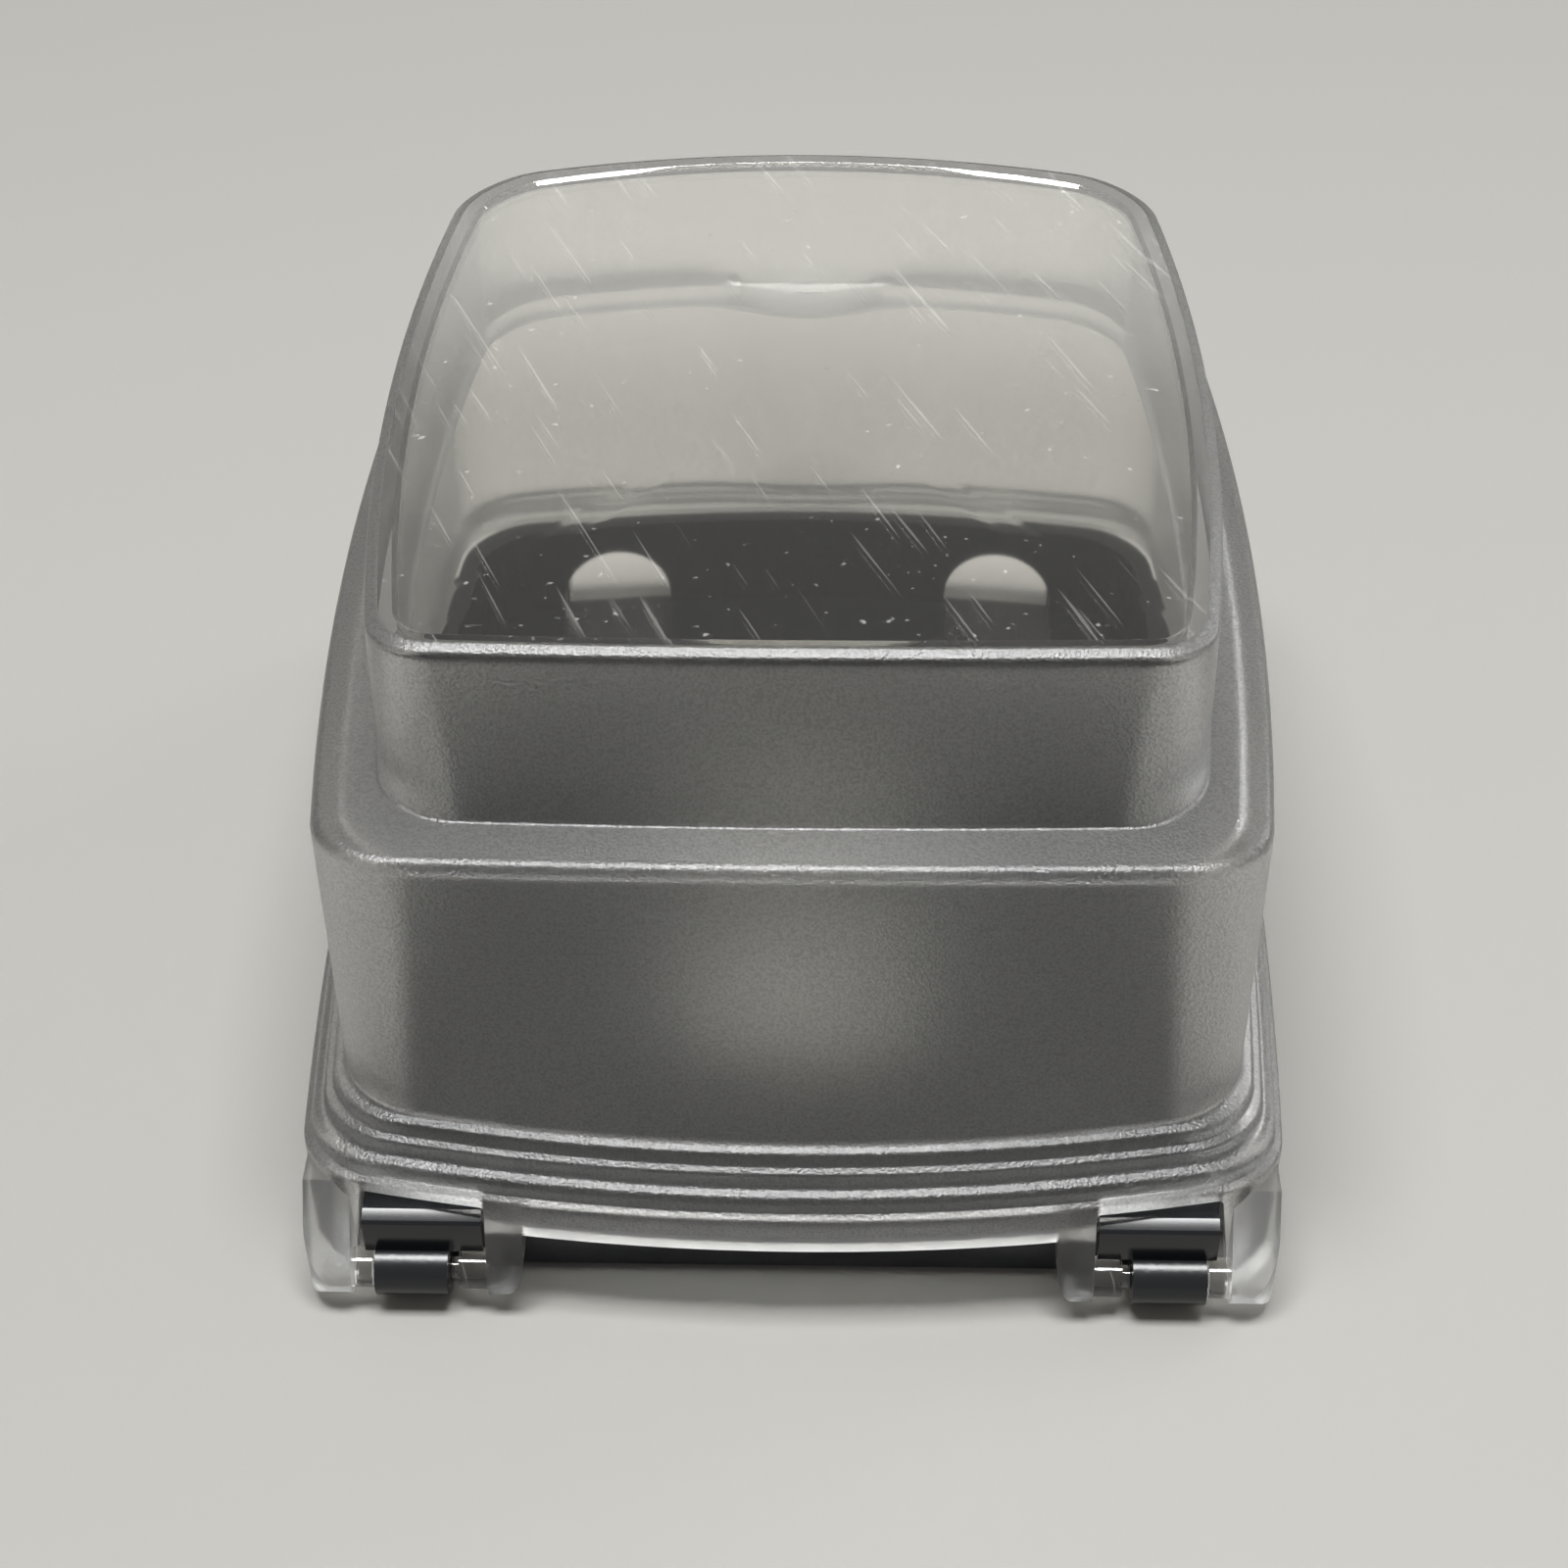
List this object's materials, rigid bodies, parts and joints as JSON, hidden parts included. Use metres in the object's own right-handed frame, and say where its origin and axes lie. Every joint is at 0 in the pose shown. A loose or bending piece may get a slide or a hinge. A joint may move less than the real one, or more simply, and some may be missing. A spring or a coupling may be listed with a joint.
{
  "type": "weatherproof in use outlet cover",
  "caption": "Clear stepped dome lid hinged on a black base frame, with cord ports, padlock tabs, wall gasket and a duplex receptacle insert.",
  "frame": {"origin": "on the wall plane, at the centre of the box screw pattern", "axes": "+Z away from the wall, -Y towards the hinge (up on a wall), +Y towards the cord ports, +X across"},
  "size_m": [0.1206, 0.1569, 0.0825],
  "materials": {
    "clear_lid": "clear moulded polycarbonate, smooth window, fine grained walls",
    "black_base": "black moulded plastic, satin",
    "black_insert": "black moulded plastic, satin",
    "foam": "black closed cell foam"
  },
  "bodies": {
    "base": {"base": "black_base", "wall_gasket": "foam", "duplex_insert": "black_insert"},
    "lid": {"lid": "clear_lid"}
  },
  "joints": [
    {"name": "lid_hinge", "type": "hinge", "parent": "base", "child": "lid", "pos_m": [0, -0.07013, 0.0045], "axis": [1, 0, 0], "range_deg": [0, 95]}
  ]
}
